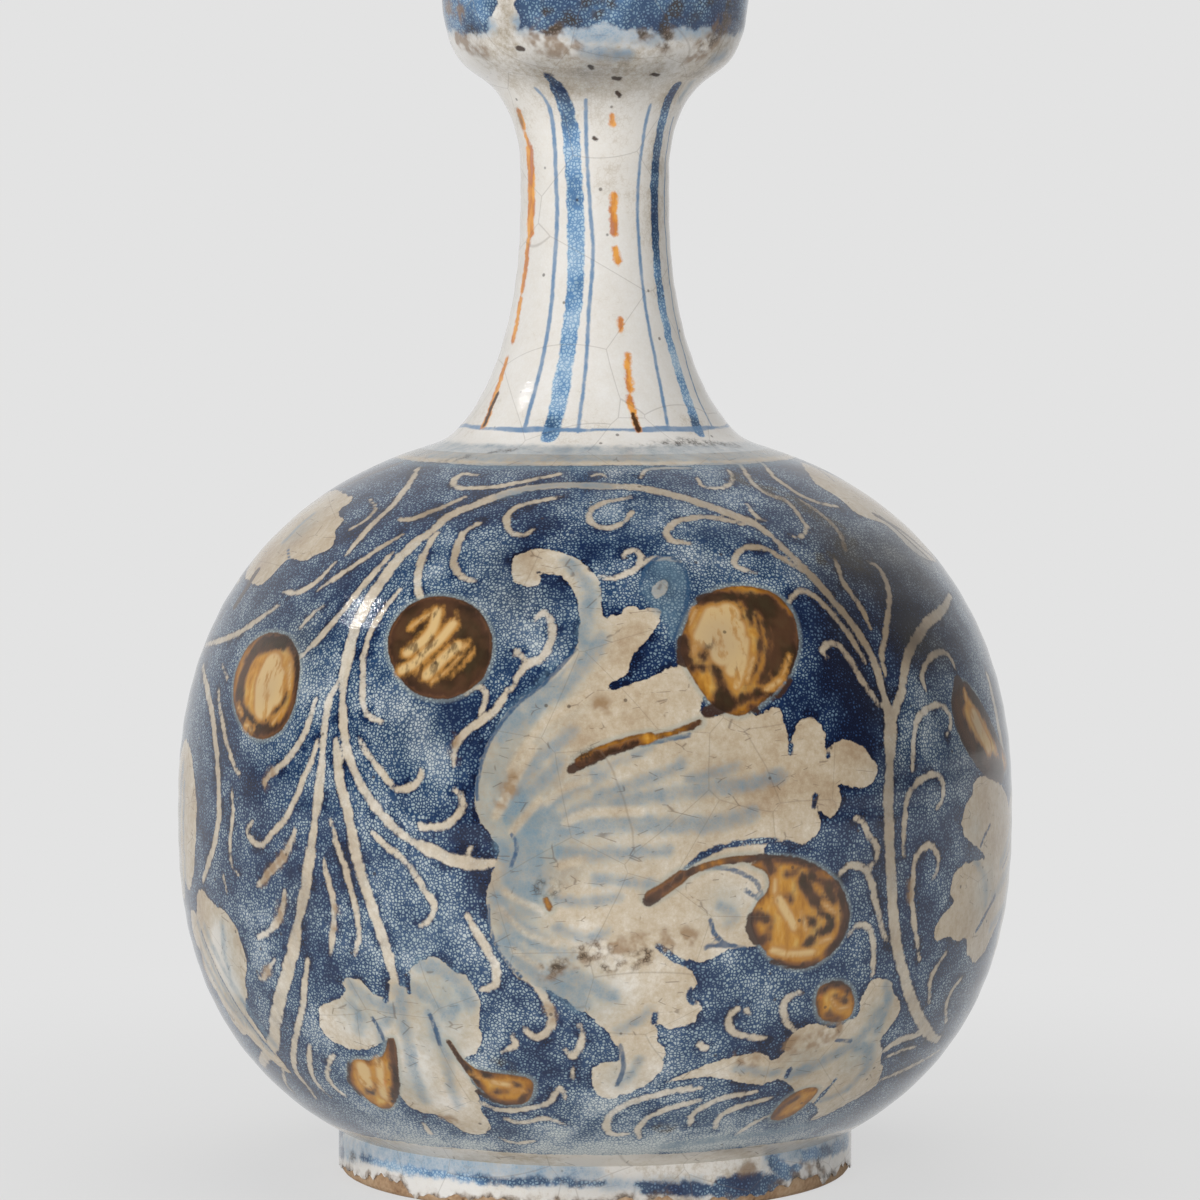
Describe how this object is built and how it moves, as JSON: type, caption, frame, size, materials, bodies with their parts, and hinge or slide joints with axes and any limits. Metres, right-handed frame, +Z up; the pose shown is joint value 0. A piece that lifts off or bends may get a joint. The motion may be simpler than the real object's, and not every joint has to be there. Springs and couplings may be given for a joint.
{
  "type": "majolica bottle",
  "caption": "Tin-glazed earthenware bottle with a wide round body, a narrow waisted neck, a cup-shaped mouth and a low foot ring, painted with foliage on a blue ground.",
  "frame": {"origin": "centre of the circle on which the foot ring rests, on the table's plane", "axes": "+Z up along the turning axis, towards the mouth; -Y is the side that the picture shows"},
  "size_m": [0.236, 0.236, 0.3512],
  "materials": {
    "earthenware": "unglazed buff clay, matte",
    "slip": "fired slip, matte",
    "blue_glaze": "tin glaze painted in cobalt, cream and ochre, glossy",
    "white_glaze": "cream tin glaze with blue and orange strokes, glossy",
    "lining_glaze": "plain cream glaze, glossy"
  },
  "bodies": {
    "root": {"foot_ring": "earthenware", "lower_body": "earthenware", "upper_body": "earthenware", "neck": "earthenware", "mouth_cup": "earthenware", "foot_lute": "slip", "belly_lute": "slip", "shoulder_lute": "slip", "mouth_lute": "slip", "foot_glaze": "blue_glaze", "lower_body_glaze": "blue_glaze", "upper_body_glaze": "blue_glaze", "neck_glaze": "white_glaze", "mouth_glaze": "white_glaze", "lower_body_lining": "lining_glaze", "upper_body_lining": "lining_glaze", "neck_lining": "lining_glaze", "mouth_lining": "lining_glaze"}
  },
  "joints": []
}
